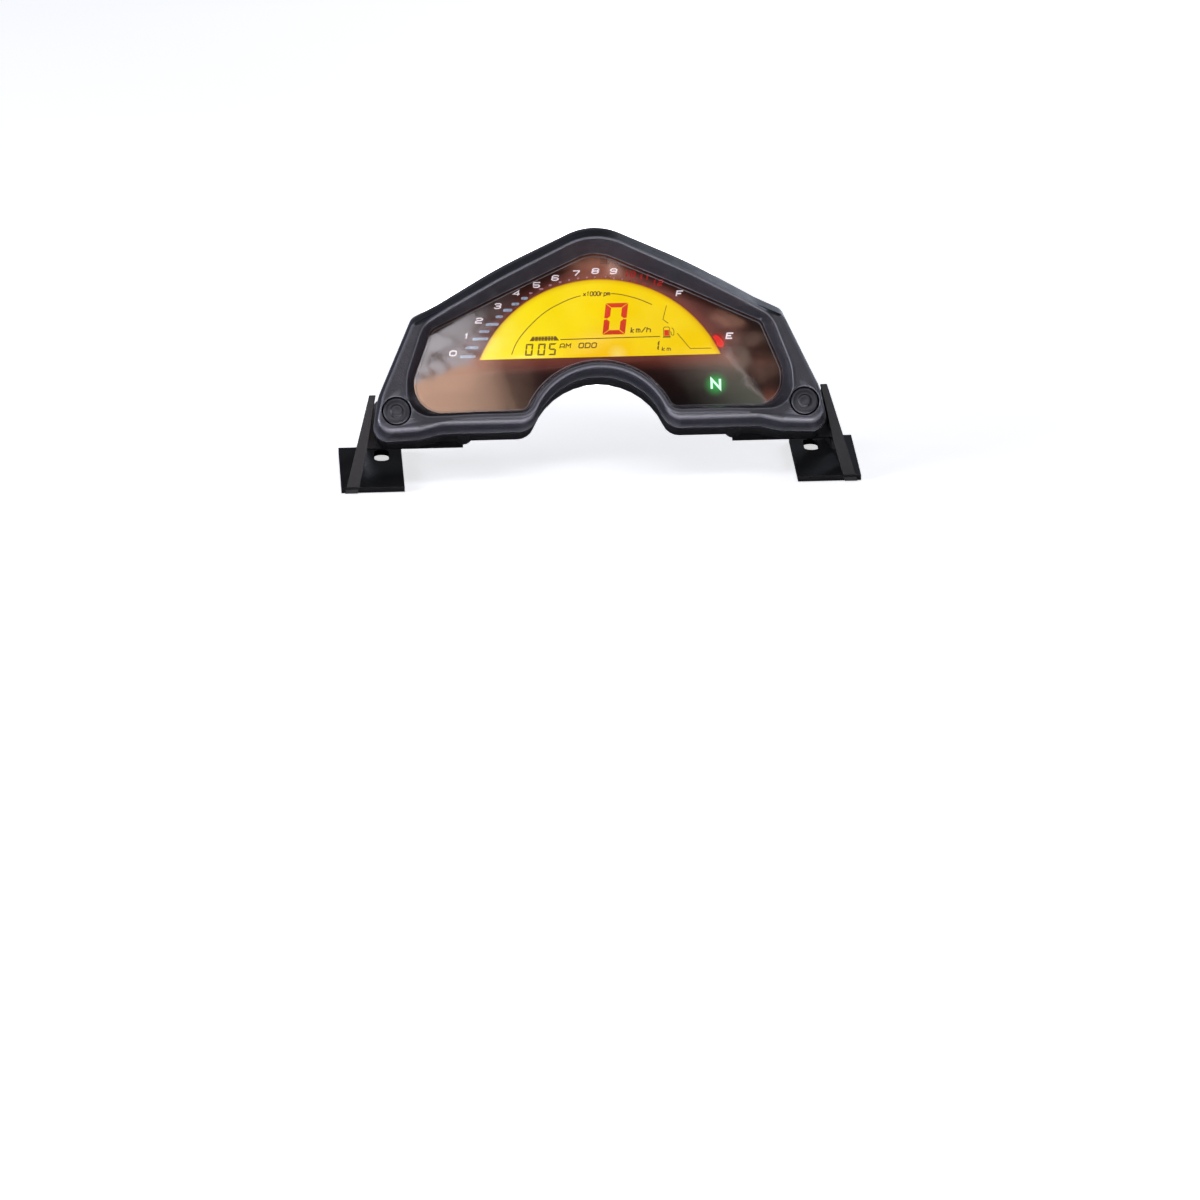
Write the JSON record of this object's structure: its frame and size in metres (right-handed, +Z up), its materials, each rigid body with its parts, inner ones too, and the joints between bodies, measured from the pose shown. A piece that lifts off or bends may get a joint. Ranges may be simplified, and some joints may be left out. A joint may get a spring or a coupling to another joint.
{
  "type": "motorcycle instrument cluster",
  "caption": "Motorcycle instrument cluster with a peaked bezel, half-moon LCD speedometer, push buttons, sealed rear case and a rubber-mounted steel bracket.",
  "frame": {"origin": "centre of the bounding box, at the level of the surface under the bracket's feet", "axes": "+X to the rider's right, +Y forwards along the motorcycle, +Z up; the dial faces -Y and leans back 30 degrees from upright"},
  "size_m": [0.23, 0.081, 0.1058],
  "materials": {
    "bezel_plastic": "fine matte moulded texture, satin bead round the dial",
    "case_plastic": "matte moulded, slightly glossier than the bezel",
    "button_plastic": "matte",
    "lens_polycarbonate": "clear smoked polycarbonate, polished",
    "mask_print": "dark maroon printed film with white scale",
    "lcd_glass": "clear",
    "polarizer_film": "amber film",
    "diffuser_plastic": "milky amber",
    "frame_plastic": "white reflector plastic",
    "board_laminate": "green solder mask",
    "chip_epoxy": "matte epoxy",
    "led_amber": "clear amber resin",
    "led_green": "clear green resin",
    "led_red": "clear red resin",
    "led_blue": "clear blue resin",
    "led_orange": "clear orange resin",
    "component_metal": "satin",
    "connector_nylon": "natural nylon with tinned pins",
    "contact_rubber": "zebra silicone",
    "switch_plastic": "matte",
    "plunger_plastic": "ivory",
    "boot_silicone": "matte silicone",
    "guide_plastic": "matte",
    "seal_rubber": "matte",
    "grommet_rubber": "matte",
    "vent_plastic": "matte",
    "screw_steel": "zinc plated",
    "collar_steel": "zinc plated",
    "bracket_paint": "black powder coat"
  },
  "bodies": {
    "cluster": {"bezel": "bezel_plastic", "lens": "lens_polycarbonate", "lens_gasket": "seal_rubber", "case_seal": "seal_rubber", "dial_mask": "mask_print", "lcd_front_polarizer": "polarizer_film", "lcd_front_glass": "lcd_glass", "lcd_rear_glass": "lcd_glass", "lcd_rear_polarizer": "polarizer_film", "backlight_diffuser": "diffuser_plastic", "left_contact_strip": "contact_rubber", "right_contact_strip": "contact_rubber", "display_frame": "frame_plastic", "circuit_board": "board_laminate", "backlight_led_1": "led_amber", "backlight_led_2": "led_amber", "backlight_led_3": "led_amber", "backlight_led_4": "led_amber", "neutral_led": "led_green", "engine_warning_led": "led_orange", "low_fuel_led": "led_red", "high_beam_led": "led_blue", "microcontroller": "chip_epoxy", "voltage_regulator": "chip_epoxy", "crystal": "component_metal", "capacitor_1": "component_metal", "capacitor_2": "component_metal", "connector_header": "connector_nylon", "rear_case": "case_plastic", "breather_vent": "vent_plastic", "case_screw_1": "screw_steel", "case_screw_2": "screw_steel", "case_screw_3": "screw_steel", "case_screw_4": "screw_steel", "case_screw_5": "screw_steel", "case_screw_6": "screw_steel", "case_screw_7": "screw_steel", "mount_grommet_1": "grommet_rubber", "mount_grommet_2": "grommet_rubber", "mount_grommet_3": "grommet_rubber", "mount_collar_1": "collar_steel", "mount_collar_2": "collar_steel", "mount_collar_3": "collar_steel", "mount_bolt_1": "screw_steel", "mount_bolt_2": "screw_steel", "mount_bolt_3": "screw_steel", "mounting_bracket": "bracket_paint", "left_button_boot": "boot_silicone", "left_button_guide": "guide_plastic", "left_switch_body": "switch_plastic", "right_button_boot": "boot_silicone", "right_button_guide": "guide_plastic", "right_switch_body": "switch_plastic"},
    "left_button": {"left_button": "button_plastic"},
    "left_plunger": {"left_switch_plunger": "plunger_plastic"},
    "right_button": {"right_button": "button_plastic"},
    "right_plunger": {"right_switch_plunger": "plunger_plastic"}
  },
  "joints": [
    {"name": "left_button_press", "type": "slide", "parent": "cluster", "child": "left_button", "axis": [0, 0.866, -0.5], "range_m": [0, 0.0012], "stiffness_N_per_m": 1600, "springref_m": -0.0005, "deforming": ["left_button_boot"]},
    {"name": "right_button_press", "type": "slide", "parent": "cluster", "child": "right_button", "axis": [0, 0.866, -0.5], "range_m": [0, 0.0012], "stiffness_N_per_m": 1600, "springref_m": -0.0005, "deforming": ["right_button_boot"]},
    {"name": "left_switch_travel", "type": "slide", "parent": "cluster", "child": "left_plunger", "axis": [0, 0.866, -0.5], "range_m": [0, 0.0003]},
    {"name": "right_switch_travel", "type": "slide", "parent": "cluster", "child": "right_plunger", "axis": [0, 0.866, -0.5], "range_m": [0, 0.0003]}
  ],
  "couplings": [
    {"joint": "left_switch_travel", "follows": "left_button_press", "ratio": 0.25},
    {"joint": "right_switch_travel", "follows": "right_button_press", "ratio": 0.25}
  ]
}
